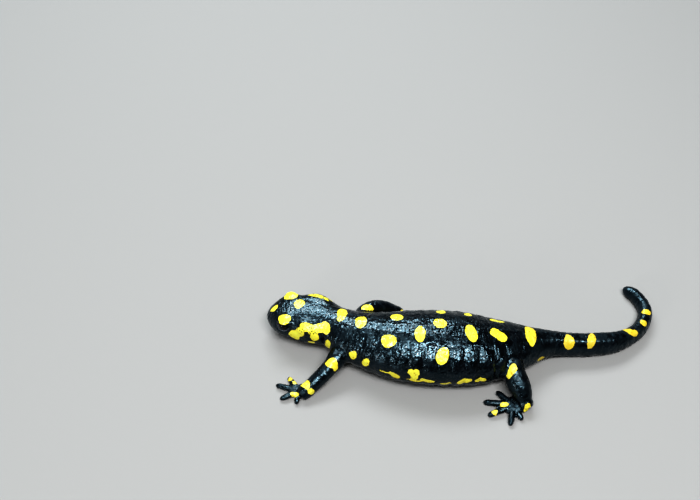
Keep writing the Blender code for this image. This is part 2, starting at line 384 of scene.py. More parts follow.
# ==== Trunk and neck: costal grooves, folds and gland rows ===================================
# Between the legs eleven shallow grooves ring the flanks, one to each rib. Behind the jaw the
# neck creases, and the throat folds across. Poison glands make a double row of low beads down
# the ridge of the back, and one bead between each two ribs along the flank.
def raise_skin(height):
    """Move the surface out along its normals by a height at each vertex."""
    global points
    points = points + outward(skin.data) * height[:, None]
    write_points(skin.data, points)


def wrinkle(points, size, seed):
    """Smooth noise from -1 to 1 with a feature size in millimetres."""
    shift = np.array((seed * 17.3, seed * 5.9, seed * 11.7))
    return np.array([noise.noise(Vector(place / size + shift)) for place in points])


def dip(distance, half_width):
    """A smooth round profile, 1 in the middle and fading over a half width."""
    return np.exp(-(distance / half_width) ** 2)


RIBS = (47.2, 52.6, 58.6, 64.9, 70.4, 75.7, 81.1, 86.9, 92.6, 98.0, 103.0)
RIB_DEPTHS = (0.44, 0.36, 0.50, 0.42)
DEEPER_BEHIND = 1.25
RIB_HOLLOW = 1.25
RIB_FURROW = 0.45
LOOSE_SKIN = 0.10
# A crease of the neck is: distance along, half width, depth, and degrees round where it starts.
NECK_CREASES = ((30.0, 0.75, 0.42, 55), (33.6, 0.6, 0.2, 45), (26.4, 0.6, 0.22, 70))
TAIL_RINGS_START = 124.0
TAIL_RING_APART = 2.9
TAIL_RING_DEPTH = 0.17
RIDGE_BEAD = 0.62
RIDGE_BEAD_RISE = 0.26
RIDGE_BEADS_APART = 2.2
FLANK_BEAD = 1.1
FLANK_BEAD_RISE = 0.20
height = np.zeros(len(points))
body_only = 1.0 - on_limb
flank = step_up(22, 46, turn) + 0.35 * step_up(34, 76, -turn)
flank *= 1 - step_up(120, 150, np.abs(turn))
sway = 0.9 * np.sin(np.radians(turn) * 1.5) + 0.35 * wrinkle(points, 7.0, 1)
for number, rib in enumerate(RIBS):
    depth = RIB_DEPTHS[number % 4] * (DEEPER_BEHIND if 80 < rib < 100 else 1.0)
    beside = along - rib + sway
    groove = 0.6 * dip(beside, RIB_HOLLOW) + 0.4 * dip(beside, RIB_FURROW)
    height -= depth * groove * flank * body_only
height += body_only * LOOSE_SKIN * wrinkle(points, 3.4, 2) * step_up(20, 40, along)

for at, reach, depth, lowest in NECK_CREASES:
    bow = at + 1.4 * np.cos(np.radians(turn)) + 0.4 * wrinkle(points, 4.0, 3)
    crease = dip(along - bow, reach) * step_up(lowest, lowest + 25, np.abs(turn))
    height -= depth * crease * body_only

tail_part = step_up(121, 127, along) * (1 - step_up(188, 194, along))
ring = (along - TAIL_RINGS_START + 0.5 * wrinkle(points, 5.0, 4)) / TAIL_RING_APART
beside = (ring - np.round(ring)) * TAIL_RING_APART
height -= tail_part * TAIL_RING_DEPTH * dip(beside, 0.45) * step_up(15, 50, np.abs(turn))
raise_skin(height)


def search_hide():
    """A search tree of the hide as it now stands."""
    return BVHTree.FromPolygons([Vector(point) for point in points],
                                [list(face.vertices) for face in skin.data.polygons])


hide_tree = search_hide()


def on_body(at, degrees):
    """The point of the hide at a distance along and an angle round the body."""
    way = heading(at)
    core = Vector((*midline(at), float(core_height(at))))
    angle = math.radians(degrees)
    out = Vector((way[1] * math.sin(angle), -way[0] * math.sin(angle), math.cos(angle)))
    place = hide_tree.ray_cast(core, out)[0]
    return np.array(place if place is not None else core + out * float(core_radius(at)))


def beads(places, radius, rise, pore_radius=0.0, pore_depth=0.0):
    """Heights of low round beads at places, each with a pore in its top."""
    height = np.zeros(len(points))
    for place in places:
        near = np.flatnonzero(np.abs(points - place).max(axis=1) < radius * 2.5)
        distance = np.linalg.norm(points[near] - place, axis=1)
        bead = rise * dip(distance, radius)
        if pore_radius:
            bead -= pore_depth * dip(distance, pore_radius)
        height[near] = np.where(np.abs(bead) > np.abs(height[near]), bead, height[near])
    return height


chance = np.random.RandomState(11)
ridge = []
for at in np.arange(33.0, 182.0, RIDGE_BEADS_APART):
    spread = np.interp(at, (33, 60, 110, 182), (9, 9.5, 14, 34))
    for side in (1, -1):
        ridge.append(on_body(at + chance.uniform(-0.5, 0.5), side * spread + chance.uniform(-2, 2)))
flank_beads = []
for fore, aft in zip(RIBS, RIBS[1:]):
    for side in (1, -1):
        flank_beads.append(on_body((fore + aft) / 2 + chance.uniform(-0.5, 0.5),
                                   side * 62 + chance.uniform(-4, 4)))
ridge_beads = beads(ridge, RIDGE_BEAD, RIDGE_BEAD_RISE)
raise_skin(ridge_beads + beads(flank_beads, FLANK_BEAD, FLANK_BEAD_RISE))


# ==== Head: glands, lips and nostrils ========================================================
# The head is flat and broad, with a blunt round snout. Behind each eye lies a long swollen
# gland, pitted with pores. The lips meet in one thin line that turns up behind the eye, and the
# nostrils are two small pits near the tip of the snout.
GLAND_ALONG = 21.0
GLAND_TURN = 54.0
GLAND_HALF_LENGTH = 6.4
GLAND_HALF_TURN = 21.0
GLAND_SWELLING = 0.34
GLAND_MOAT = 0.04
LIP_LINE = 0.50
UPPER_LIP = 0.16
LOWER_LIP = 0.08
HEAD_GRAIN = 0.035
PORES = 26
SUNFLOWER_TURN = 2.39996
height = np.zeros(len(points))
for side in (1, -1):
    u = (along - GLAND_ALONG) / GLAND_HALF_LENGTH
    v = (turn * side - GLAND_TURN) / GLAND_HALF_TURN
    far = np.sqrt(u * u + v * v)
    height += GLAND_SWELLING * (1 - step_up(0.2, 1.3, far)) * on_head
    height -= GLAND_MOAT * dip(far - 1.25, 0.25) * on_head
raise_skin(height)
height = np.zeros(len(points))
lip = points[:, 2] - MOUTH_LINE(along)
lip_part = on_head * (1 - step_up(MOUTH_CORNER - 1.2, MOUTH_CORNER + 0.6, along))
lip_part = lip_part * step_up(22, 34, np.abs(turn) + 60 * (along < 4))
height += lip_part * (-LIP_LINE * dip(lip, 0.24) + UPPER_LIP * dip(lip - 0.75, 0.5))
height += lip_part * LOWER_LIP * dip(lip + 0.8, 0.45)
height += on_head * HEAD_GRAIN * wrinkle(points, 0.9, 5)
raise_skin(height)

hide_tree = search_hide()
nostrils = [np.array(hide_tree.find_nearest(Vector(place_beside(*place)))[0])
            for place in NOSTRILS]
raise_skin(beads(nostrils, radius=0.85, rise=0.16, pore_radius=0.36, pore_depth=0.75))
pores = []
for side in (1, -1):
    for count in range(PORES):
        reach = math.sqrt((count + 0.5) / PORES)
        spin = count * SUNFLOWER_TURN
        pores.append(on_body(GLAND_ALONG + 5.2 * reach * math.cos(spin),
                             side * (GLAND_TURN + 15 * reach * math.sin(spin))))
raise_skin(beads(pores, radius=0.42, rise=0.05, pore_radius=0.2, pore_depth=0.24))


# ==== Eyelids ================================================================================
# Thick lids ring each eyeball: the upper one is a heavy hood, the lower one thin and level.
# Inside the opening the hide dips behind the eyeball, so that the eye sits in it as in life.
OPENING_HALF_LENGTH = 60.0
OPENING_ABOVE = 27.0
OPENING_BELOW = 34.0
UPPER_LID = 0.42
LOWER_LID = 0.30
CLEAR_OF_EYE = 0.22
SOCKET_DEPTH = 0.5
lid_edge = np.zeros(len(points))
for side in (1, -1):
    centre, look, ahead, lift = eye_frame(side)
    offset = points - centre
    reach = np.linalg.norm(offset, axis=1)
    front = offset @ look
    across = np.degrees(np.arctan2(offset @ ahead, front))
    above = np.degrees(np.arcsin(np.clip(offset @ lift / np.maximum(reach, 1e-6), -1, 1)))
    tall = np.where(above > 0, OPENING_ABOVE, OPENING_BELOW)
    ratio = np.hypot(across / OPENING_HALF_LENGTH, above / tall)
    slope = np.hypot(across / OPENING_HALF_LENGTH ** 2, above / tall ** 2)
    margin = ratio * (ratio - 1) / np.maximum(slope, 1e-6) * math.radians(EYE_RADIUS)
    thick = LOWER_LID + (UPPER_LID - LOWER_LID) * step_up(-8, 8, above)
    rim = EYE_RADIUS + thick
    own = np.maximum(reach, EYE_RADIUS + CLEAR_OF_EYE)
    outer = rim + (own - rim) * step_up(0.1, 1.1, margin)
    target = outer + (EYE_RADIUS - SOCKET_DEPTH - outer) * (1 - step_up(-0.22, 0.02, margin))
    holds = (1 - step_up(4.3, 5.4, reach)) * step_up(-1.0, 0.4, front)
    points += offset / np.maximum(reach, 1e-6)[:, None] * ((target - reach) * holds)[:, None]
    # Along each lower lid's edge lies a mask for a painted highlight, where the wet rim would catch
    # light.
    lower = step_up(-4, 6, -above) * (1 - step_up(30, 75, -across)) * (front > 0)
    lid_edge = np.maximum(lid_edge, lower * dip(margin - 0.30, 0.24) * holds)
write_points(skin.data, points)


# ==== Legs, hands and feet ===================================================================
# The legs are stout, with loose skin that creases at elbow, knee, wrist and ankle. The four
# fingers and five toes are short, blunt and clawless, and arch a little at their knuckles.
LEG_PATHS = {
    "foreleg_left": ((-40.8, 1.6, 8.6), (-44.6, -3.2, 8.3), (-48.2, -7.9, 7.2),
                     (-52.6, -11.9, 5.1), (-56.6, -15.2, 3.3)),
    "foreleg_right": ((-37.0, 10.1, 8.8), (-35.0, 16.1, 9.4), (-31.2, 20.6, 9.4),
                      (-25.6, 22.8, 7.2), (-20.2, 23.2, 3.6)),
    "hindleg_left": ((29.0, 1.1, 8.6), (27.4, -6.4, 9.6), (28.2, -13.0, 9.0),
                     (30.4, -18.2, 6.3), (31.8, -21.8, 3.6)),
    "hindleg_right": ((29.0, 3.1, 8.0), (25.6, 7.4, 8.0), (21.4, 11.2, 7.0),
                      (17.8, 14.7, 5.4), (15.4, 17.2, 3.5)),
}
CREASE_HALF_WIDTH = 0.42
# A crease of a leg is: the joint of its path that it lies by, how far past it, and its depth.
LEG_CREASES = ((2, -0.9, 0.22), (2, 0.9, 0.16), (3, 0.6, 0.12), (4, -0.4, 0.22))
height = np.zeros(len(points))
for name, path in LEG_PATHS.items():
    at = np.cumsum([0.0] + [math.dist(a, b) for a, b in zip(path, path[1:])])
    run = smooth_through(list(zip(at, path)))
    steps = np.arange(0.0, at[-1] + 0.1, 0.2)
    search = kdtree.KDTree(len(steps))
    for i, place in enumerate(run(steps)):
        search.insert(place, i)
    search.balance()
    mine = np.flatnonzero(np.isin(over, (name, name.replace("leg", "foot"))))
    down = np.array([steps[search.find(place)[1]] for place in points[mine]])
    loose = down + 0.35 * wrinkle(points[mine], 2.2, 6)
    for joint, past, depth in LEG_CREASES:
        height[mine] -= depth * dip(loose - (at[joint] + past), CREASE_HALF_WIDTH)
raise_skin(relax(height, edges, 1) * on_limb)
raise_skin(0.05 * on_limb * wrinkle(points, 1.6, 7))


# ==== Where the animal rests =================================================================
# The belly, the tail, the soles and the toes lie flat on the ground at one level, and the vent
# is a short slit under the root of the tail.
VENT_ALONG = 119.0
VENT_DEPTH = 0.55
VENT_LIPS = 0.15
under = 1 - step_up(0.15, 0.9, points[:, 2])
from_vent = np.abs(along - VENT_ALONG)
vent = dip(left, 0.35) * (1 - step_up(2.2, 3.2, from_vent))
vent_lips = dip(np.abs(left) - 0.9, 0.5) * (1 - step_up(2.6, 3.8, from_vent))
points[:, 2] += under * (VENT_DEPTH * vent - VENT_LIPS * vent_lips)
points[:, 2] = np.maximum(points[:, 2], 0.0)
write_points(skin.data, points)


# ==== Yellow markings ========================================================================
# Each fire salamander wears its own pattern of lemon spots. This one has them on both eyelids,
# snout and crown, a ragged patch over the left gland, loose rows down the back and the flanks,
# some across the tail, and marks on elbows, wrists, knees, one heel, fingers and toes.

# A lobe of a spot is: distance along, degrees round to the left, its length and breadth, and
# how far its length is turned from along the body towards round it.
BODY_SPOTS = {
    "snout": ((3.2, -2, 3.5, 2.5, -45),),
    "left eyelid": ((9.2, 45, 5.8, 4, -10), (10, 50, 3, 3, 0)),
    "right eyelid": ((9.5, -49, 6, 5.5, 0),),
    "crown": ((14, -19, 4.5, 4.5, 0), (14, -10, 3, 3.5, 0)),
    "left gland": ((14.5, 87, 5.5, 5.5, 10), (17.5, 72, 6, 5, -35), (21, 54, 8, 3.8, 0),
                   (24.5, 58, 5, 5, 0), (25.5, 76, 4.5, 4.5, 0), (27, 48, 5, 4, -20),
                   (29.4, 43, 6, 4, 50)),
    "left jaw": ((24, 97, 4, 2, -10),),
    "right gland": ((20.5, -53, 8.5, 2.3, 5), (18, -72, 5, 4, 20), (24.5, -70, 4.5, 4.5, 0)),
    "left of the neck": ((32.5, 89, 4, 6, 8),),
    "right of the neck": ((31.5, -88, 3.5, 4.5, 0),),
    "nape": ((32, -32, 3, 4, 0), (33, -18, 4, 5, 0), (33.5, -4, 3.5, 4.5, 0)),
    "shoulders": ((43, -2, 4.5, 5, 0), (42.5, -12, 5, 4.5, 0)),
    "left of the shoulders": ((43.5, 76, 3, 4.5, 20),),
    "behind the left arm": ((48.8, 81, 2.5, 5, 15),),
    "behind the right arm": ((50.5, -84, 4.5, 3.5, 0),),
    "first of the back": ((56, 29, 6, 5.5, 0),),
    "second of the back": ((57.5, -31, 6, 4.5, 8),),
    "third of the back": ((68, 10, 4.5, 7.5, 0),),
    "fourth of the back": ((75.5, -17, 4.5, 5, 0), (77, -17, 4, 5, 0)),
    "fifth of the back": ((77, -54, 4, 4, 0),),
    "sixth of the back": ((77, 50, 7.3, 5, 112),),
    "seventh of the back": ((89, 1, 8.5, 5, 80),),
    "eighth of the back": ((89, -54, 4, 2.5, 0),),
    "loin": ((99.7, -3, 5, 5, 0), (101.5, 6, 5.5, 5, 30)),
    "right of the loin": ((103, -50, 6.5, 2, 0),),
    "left belly edge one": ((56, 89, 3.5, 1, 10), (59.5, 91, 4.5, 3, 25)),
    "left belly edge two": ((65.3, 79, 2.5, 3.5, 0), (67.2, 79, 2.5, 3.5, 0),
                            (66.7, 88, 3, 4.5, 0)),
    "left belly edge three": ((67, 96, 6.5, 1.2, 0), (71.5, 93, 6, 2, 12)),
    "left belly edge four": ((79, 99, 5, 1.5, 0),),
    "left belly edge five": ((86, 92, 6, 3, -25),),
    "left belly edge six": ((92, 91, 4.2, 2.5, 0),),
    "right flank one": ((59, -88, 5, 4, 20),),
    "right flank two": ((68.5, -76, 4.5, 6, 70),),
    "right flank three": ((72.5, -100, 6.5, 2, 0),),
    "right flank four": ((82, -84, 5.5, 4.5, -15), (84.5, -90, 3.5, 3.5, 0)),
    "right flank five": ((94, -88, 4.5, 3.5, 0),),
    "throat": ((16, 168, 5, 3.5, 30), (22, -160, 4, 3, 0)),
    "belly": ((52, 160, 4.5, 3, 20), (66, -150, 3.5, 2.5, 0)),
    "under the loin": ((90, 158, 4, 2.5, -20),),
    "root of the tail": ((115.7, -4, 11, 5, 104),),
    "left of the vent": ((119, 96, 3, 4, 100),),
    "first of the tail": ((132.5, 29, 7, 4.5, 90),),
    "second of the tail": ((142, 17, 8, 3.5, 108),),
    "third of the tail": ((161, -6, 6.5, 3, 70), (162.5, 22, 3.5, 3, 60)),
    "fourth of the tail": ((170, 8, 3, 3.5, 20),),
    "fifth of the tail": ((176.5, -2, 3, 4.5, -8),),
    "right of the tail": ((126, -84, 4.5, 3.5, 0), (150.5, -80, 4.5, 3, 0)),
}
# A lobe of a spot on a limb is: x, y, its length and breadth, and its turn from the x axis, all
# seen from above.
LIMB_SPOTS = {
    "left elbow": ((-47.4, -8.1, 5.2, 4, -10), (-46, -9.5, 2, 2.5, 0)),
    "left wrist": ((-58.5, -15, 5.5, 3.5, -55), (-55.8, -18, 3.4, 1.6, 0)),
    "left first finger": ((-65, -10.5, 2, 2, 0),),
    "left first knuckle": ((-63, -12.5, 2, 2, 0),),
    "left third finger": ((-63, -18, 4, 2, -12),),
    "right elbow": ((-32.4, 18.3, 5.5, 4.5, 10),),
    "right wrist": ((-16, 22.5, 3, 3, 0),),
    "right third finger": ((-10, 18, 2.5, 2.2, 0),),
    "left knee": ((26, -12.8, 5.3, 4.3, 40), (24.8, -14.5, 3, 3, 0)),
    "left heel": ((32.6, -25.4, 3, 2.2, 15),),
    "left second toe": ((23.5, -23, 3.5, 2.2, 0),),
    "left third toe": ((19.2, -26.4, 2.4, 2.4, 0),),
    "right knee": ((18.5, 17, 3.5, 3, 30),),
    "right foot": ((8.5, 19.5, 3.5, 3, 0),),
    "right third toe": ((2.5, 19, 2.2, 2, 0),),
}


def patch_edge(u, v, length, breadth, spin):
    """Roughly the distance in from the edge of an oval patch, positive inside."""
    c, s = math.cos(math.radians(spin)), math.sin(math.radians(spin))
    a, b = length / 2, breadth / 2
    x = (u * c + v * s) / a
    y = (v * c - u * s) / b
    ratio = np.hypot(x, y)
    slope = np.maximum(np.hypot(x / a, y / b), 1e-4)
    return np.clip(ratio * (1 - ratio) / slope, -9.0, min(a, b))


def melt(one, two, width=0.5):
    """The larger of two edges, rounded over where they meet."""
    t = np.clip(0.5 + 0.5 * (one - two) / width, 0.0, 1.0)
    return two + (one - two) * t + width * t * (1 - t)


along, left, turn = lay_out(points)
hide_tree = search_hide()
FAR_OUT = -9.0
yellow_edge = np.full(len(points), -3.0)
for lobes in BODY_SPOTS.values():
    spot = np.full(len(points), FAR_OUT)
    for at, degrees, length, breadth, spin in lobes:
        core = np.array((*midline(at), float(core_height(at))))
        reach = np.linalg.norm(on_body(at, degrees) - core)
        girth = np.radians((turn - degrees + 180) % 360 - 180) * reach
        spot = melt(spot, patch_edge(along - at, girth, length, breadth, spin))
    yellow_edge = np.maximum(yellow_edge, spot + FAR_OUT * step_up(0.0, 0.6, on_limb))
for lobes in LIMB_SPOTS.values():
    spot = np.full(len(points), FAR_OUT)
    top = 0.0
    for x, y, length, breadth, spin in lobes:
        spot = melt(spot, patch_edge(points[:, 0] - x, points[:, 1] - y, length, breadth, spin))
        top = max(top, hide_tree.ray_cast(Vector((x, y, 40.0)), Vector((0, 0, -1)))[0].z)
    spot -= 9.0 * step_up(0.0, 0.6, 1 - on_limb) + 6.0 * step_up(2.6, 4.2, top - points[:, 2])
    yellow_edge = np.maximum(yellow_edge, spot - 2.0 * (1 - step_up(0.3, 1.0, points[:, 2])))
warmth = np.maximum(0.4 * on_limb, step_up(104, 124, along))
warmth = np.maximum(warmth, 0.3 * step_up(70, 95, np.abs(turn)) * step_up(34, 44, along))


def keep_value(name, values):
    """Store a value for every vertex, for the skin's finish to read."""
    layer = skin.data.attributes.new(name, "FLOAT", "POINT")
    layer.data.foreach_set("value", values.astype(np.float32))


keep_value("yellow_edge", yellow_edge)
keep_value("warmth", warmth)
keep_value("along", along)
keep_value("head_part", on_head)
to_eye = np.min([np.linalg.norm(points - eye_frame(side)[0], axis=1) for side in (1, -1)], axis=0)
keep_value("lids", 1 - step_up(3.3, 4.2, to_eye))
keep_value("girth", np.radians(turn) * core_radius(along))
keep_value("gland", on_head * np.exp(-((along - GLAND_ALONG) / 8) ** 2
                                     - ((np.abs(turn) - GLAND_TURN) / 26) ** 2))
keep_value("on_body", (1 - on_limb) * (0.65 + 0.35 * step_up(22, 40, along)))
keep_value("upward", step_up(-0.1, 0.55, outward(skin.data)[:, 2]))
keep_value("lid_edge", lid_edge)
keep_value("bead_tops", ridge_beads / RIDGE_BEAD_RISE)
keep_value("underneath", step_up(-0.2, 0.75, -outward(skin.data)[:, 2]))


# ==== The hide, finished =====================================================================
# The hide is thin, wet and glandular: blue-black, greyer below, finely pleated across the body,
# and brightest where a film of wet stands on the tops of granules and beads. Limbs and tail are
# duller. The yellow lies in it with crisp, slightly ragged edges.
NIGHT_BLACK = (0.0014, 0.0018, 0.0028, 1)
BLUE_BLACK = (0.0042, 0.0052, 0.0075, 1)
BELLY_GREY = (0.014, 0.013, 0.015, 1)
# Pale grey of a painted highlight on the wet edges of the lower lids.
LID_PAINTED_HIGHLIGHT = (0.26, 0.26, 0.30, 1)
LEMON = (0.56, 0.54, 0.066, 1)
DEEP_LEMON = (0.555, 0.50, 0.044, 1)
AMBER = (0.34, 0.18, 0.018, 1)
SPOT_RIM = (0.59, 0.36, 0.005, 1)
GLAND_PORE = (0.05, 0.035, 0.01, 1)
LONE_PORE = (0.30, 0.15, 0.006, 1)
NO_GLOW = (0, 0, 0, 1)
# Strength of a faint glow of the yellow: painted fill light that lifts the yellow where it lies in
# shade.
PAINTED_FILL_GLOW = 0.12
RELIEF_DEPTH = 0.16 * MM
DULLER_LIMBS = 0.12
write_points(skin.data, points * MM)
skin.data.shade_smooth()

hide = bpy.data.materials.new("wet_hide")
hide.use_nodes = True
shader = hide.node_tree.nodes["Principled BSDF"]


class Bench:
    """Puts shader nodes down in one material and joins them up."""

    def __init__(self, tree):
        self.nodes, self.links = tree.nodes, tree.links

    def put(self, kind, inputs=None, out=0, **settings):
        """Add a node, set or link its inputs, and give back one of its outputs."""
        node = self.nodes.new(kind)
        for name, value in settings.items():
            setattr(node, name, value)
        for name, value in (inputs or {}).items():
            if isinstance(value, bpy.types.NodeSocket):
                self.links.new(value, node.inputs[name])
            else:
                node.inputs[name].default_value = value
        return node.outputs[out]

    def kept(self, name):
        """A value stored on the skin's vertices."""
        return self.put("ShaderNodeAttribute", out="Fac", attribute_name=name)

    def noise(self, vector, scale, detail):
        return self.put("ShaderNodeTexNoise", {"Vector": vector, "Scale": scale, "Detail": detail})

    def cells(self, vector, scale, smoothness=None, **settings):
        """Distance to the middle of the nearest of many scattered cells."""
        inputs = {"Vector": vector, "Scale": scale}
        if smoothness is not None:
            inputs["Smoothness"] = smoothness
            settings["feature"] = "SMOOTH_F1"
        return self.put("ShaderNodeTexVoronoi", inputs, out="Distance", **settings)

    def sum(self, one, two, operation="ADD"):
        return self.put("ShaderNodeMath", {0: one, 1: two}, operation=operation)

    def times(self, one, two):
        return self.sum(one, two, "MULTIPLY")

    def lessened(self, mask, share):
        """1, less a share where the mask is on."""
        return self.sum(1.0, self.times(mask, share), "SUBTRACT")

    def ramp(self, value, low, high, start=0.0, end=1.0):
        return self.put("ShaderNodeMapRange", {"Value": value, "From Min": low, "From Max": high,
                        "To Min": start, "To Max": end}, interpolation_type="SMOOTHSTEP")

    def mix(self, share, one, two):
        return self.put("ShaderNodeMix", {0: share, 2: one, 3: two}, data_type="FLOAT")

    def blend(self, share, one, two):
        return self.put("ShaderNodeMix", {"Factor": share, "A": one, "B": two}, out=2,
                        data_type="RGBA")


# Scales count features to the metre, except on the hide's own map, which is in millimetres.
bench = Bench(hide.node_tree)
place = bench.put("ShaderNodeTexCoord", out="Object")
on_hide = bench.put("ShaderNodeCombineXYZ", {"X": bench.kept("along"), "Y": bench.kept("girth")})

# where the yellow lies, with its ragged edge
coarse = bench.noise(place, 330.0, 1.0)
ragged = bench.noise(place, 1100.0, 2.0)
edge = bench.sum(bench.kept("yellow_edge"), bench.times(bench.sum(coarse, -0.5), 0.8))
edge = bench.sum(edge, bench.times(bench.sum(ragged, -0.5), 0.7))
yellow = bench.ramp(edge, -0.06, 0.06)

# the black, greyer below, with a painted highlight along the wet edge of the lower lid
tone = bench.noise(place, 160.0, 3.0)
black = bench.blend(bench.ramp(tone, 0.35, 0.7), NIGHT_BLACK, BLUE_BLACK)
black = bench.blend(bench.kept("underneath"), black, BELLY_GREY)
black = bench.blend(bench.kept("lid_edge"), black, LID_PAINTED_HIGHLIGHT)

# the yellow, warmer on the limbs and tail and at each spot's rim, with its pores
lemon = bench.blend(bench.ramp(tone, 0.3, 0.7), LEMON, DEEP_LEMON)
lemon = bench.blend(bench.times(bench.kept("warmth"), 0.5), lemon, AMBER)
lemon = bench.blend(bench.ramp(edge, 0.0, 0.55, 0.35, 0.0), lemon, SPOT_RIM)
pore = bench.ramp(bench.cells(on_hide, 0.72, voronoi_dimensions="2D"), 0.13, 0.24, 1.0, 0.0)
pore = bench.times(pore, bench.ramp(bench.kept("gland"), 0.35, 0.6))
lemon = bench.blend(pore, lemon, GLAND_PORE)
lone_pore = bench.ramp(bench.cells(on_hide, 0.27, voronoi_dimensions="2D"), 0.05, 0.11, 0.65, 0.0)
lemon = bench.blend(lone_pore, lemon, LONE_PORE)
bench.links.new(bench.blend(yellow, black, lemon), shader.inputs["Base Color"])
# The yellow glows faintly: painted fill light for the yellow in shade, not light of its own.
bench.links.new(bench.blend(yellow, NO_GLOW, lemon), shader.inputs["Emission Color"])
shader.inputs["Emission Strength"].default_value = PAINTED_FILL_GLOW

# how wet it is: patchy on the body, even on the head, wettest on the lids
wet = bench.ramp(bench.noise(place, 300.0, 2.0), 0.36, 0.66, 0.10, 0.36)
wet = bench.mix(bench.times(bench.kept("head_part"), 0.7), wet, 0.27)
wet = bench.mix(bench.kept("lids"), wet, 0.16)
limb_or_tail = bench.ramp(bench.kept("warmth"), 0.32, 0.40)
wet = bench.sum(wet, bench.times(limb_or_tail, DULLER_LIMBS))
bench.links.new(bench.sum(wet, bench.times(yellow, 0.10)), shader.inputs["Roughness"])

# its fine relief: pleats across the body, granules of two sizes, and a grain
pleat_place = bench.put("ShaderNodeCombineXYZ", {"X": bench.times(bench.kept("along"), 0.85),
                        "Y": bench.times(bench.kept("girth"), 0.17)})
pleats = bench.times(bench.noise(pleat_place, 1.0, 2.0), bench.kept("on_body"))
granules = bench.cells(place, 680.0, smoothness=0.5)
fine_granules = bench.cells(place, 1300.0, smoothness=0.6)
grain = bench.noise(place, 2600.0, 2.0)
granule_rise = bench.ramp(bench.noise(place, 260.0, 1.0), 0.36, 0.64, -0.6, -1.7)
granule_rise = bench.mix(bench.times(bench.kept("head_part"), 0.8), granule_rise, -1.3)
granules = bench.times(granules, granule_rise)
granules = bench.sum(granules, bench.times(fine_granules, -0.45))
relief = bench.sum(bench.times(pleats, 2.6), granules)
relief = bench.sum(relief, bench.times(grain, 0.25))
relief = bench.times(relief, bench.lessened(bench.kept("lids"), 0.75))
relief = bench.times(relief, bench.ramp(bench.kept("warmth"), 0.5, 1.0, 1.0, 0.55))
bump = bench.put("ShaderNodeBump", {"Height": relief, "Strength": 1.0, "Distance": RELIEF_DEPTH},
                 out="Normal")
bench.links.new(bump, shader.inputs["Normal"])

# a film of wet on the tops of the granules and of the gland beads
tops = bench.ramp(bench.cells(place, 900.0), 0.18, 0.42, 1.0, 0.0)
tops = bench.times(tops, bench.lessened(yellow, 0.7))
tops = bench.sum(tops, bench.ramp(bench.kept("bead_tops"), 0.35, 0.75, 0.0, 0.7), "MAXIMUM")
tops = bench.times(tops, bench.ramp(bench.kept("upward"), 0.0, 1.0, 0.2, 0.95))
tops = bench.times(tops, bench.lessened(limb_or_tail, 0.6))
bench.links.new(tops, shader.inputs["Coat Weight"])
shader.inputs["Coat Roughness"].default_value = 0.22
shader.inputs["IOR"].default_value = 1.45
shader.inputs["Specular IOR Level"].default_value = 0.78
# The reflections are tinted blue: painted colour of a blue sky, while the lamps themselves are
# nearly white.
shader.inputs["Specular Tint"].default_value = (0.58, 0.86, 1.0, 1)
skin.data.materials.append(hide)
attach(skin, "root")
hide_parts(*flesh)


# ==== Eyes ===================================================================================
# Each eye is a large ball that looks out sideways under a clear, wet cornea, which stands a
# little proud of it. The iris is a brown so dark that the round pupil hardly shows in it.
CORNEA_RADIUS = 1.9
CORNEA_RISE = 0.12
PUPIL_RADIUS = 0.75
PUPIL_BLACK = (0.002, 0.002, 0.003, 1)
IRIS_BLACK = (0.004, 0.003, 0.002, 1)
IRIS_BROWN = (0.024, 0.015, 0.006, 1)
eye_finish = bpy.data.materials.new("wet_eye")
eye_finish.use_nodes = True
eye_shader = eye_finish.node_tree.nodes["Principled BSDF"]
eye_bench = Bench(eye_finish.node_tree)
faced = eye_bench.put("ShaderNodeVectorMath", {0: eye_bench.put("ShaderNodeTexCoord", out="Object"),
                      1: (1.0, 1.0, 0.0)}, operation="MULTIPLY")
from_middle = eye_bench.put("ShaderNodeVectorMath", {0: faced}, out="Value", operation="LENGTH")
outwards = eye_bench.put("ShaderNodeVectorMath", {0: faced}, operation="NORMALIZE")
streaks = eye_bench.ramp(eye_bench.noise(outwards, 7.0, 3.0), 0.40, 0.72)
iris = eye_bench.blend(streaks, IRIS_BLACK, IRIS_BROWN)
in_iris = eye_bench.ramp(from_middle, (CORNEA_RADIUS - 0.2) * MM, (CORNEA_RADIUS + 0.1) * MM,
                         1.0, 0.0)
in_iris = eye_bench.times(in_iris, eye_bench.ramp(from_middle, (PUPIL_RADIUS - 0.06) * MM,
                                                  (PUPIL_RADIUS + 0.06) * MM))
eye_bench.links.new(eye_bench.blend(in_iris, PUPIL_BLACK, iris), eye_shader.inputs["Base Color"])
eye_shader.inputs["Roughness"].default_value = 0.05
eye_shader.inputs["Specular IOR Level"].default_value = 0.5


def put_in_order(shape):
    """Order corners, edges and faces by where they lie, so that every run makes the same mesh."""
    for items, middle in ((shape.verts, lambda corner: corner.co),
                          (shape.edges, lambda edge: edge.verts[0].co + edge.verts[1].co),
                          (shape.faces, lambda face: face.calc_center_median())):
        ranked = sorted(items, key=lambda item: tuple(middle(item)))
        rank = {item: number for number, item in enumerate(ranked)}
        items.sort(key=lambda item: rank[item])
        items.index_update()


for side, name in ((1, "left"), (-1, "right")):
    centre, look = eye_frame(side)[:2]
    shape = bmesh.new()
    bmesh.ops.create_uvsphere(shape, u_segments=48, v_segments=32, radius=EYE_RADIUS * MM)
    for corner in shape.verts:
        from_axis = math.hypot(corner.co.x, corner.co.y) / (CORNEA_RADIUS * MM)
        if corner.co.z > 0:
            corner.co *= 1 + CORNEA_RISE / EYE_RADIUS * (1 - step_up(0.2, 1.0, from_axis))
    put_in_order(shape)
    mesh = bpy.data.meshes.new("eyeball_" + name)
    shape.to_mesh(mesh)
    shape.free()
    mesh.shade_smooth()
    ball = bpy.data.objects.new("eyeball_" + name, mesh)
    ball.location = Vector(centre) * MM
    ball.rotation_euler = Vector(look).to_track_quat("Z", "Y").to_euler()
    bpy.context.scene.collection.objects.link(ball)
    mesh.materials.append(eye_finish)
    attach(ball, "root")
    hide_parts("eye_" + name)


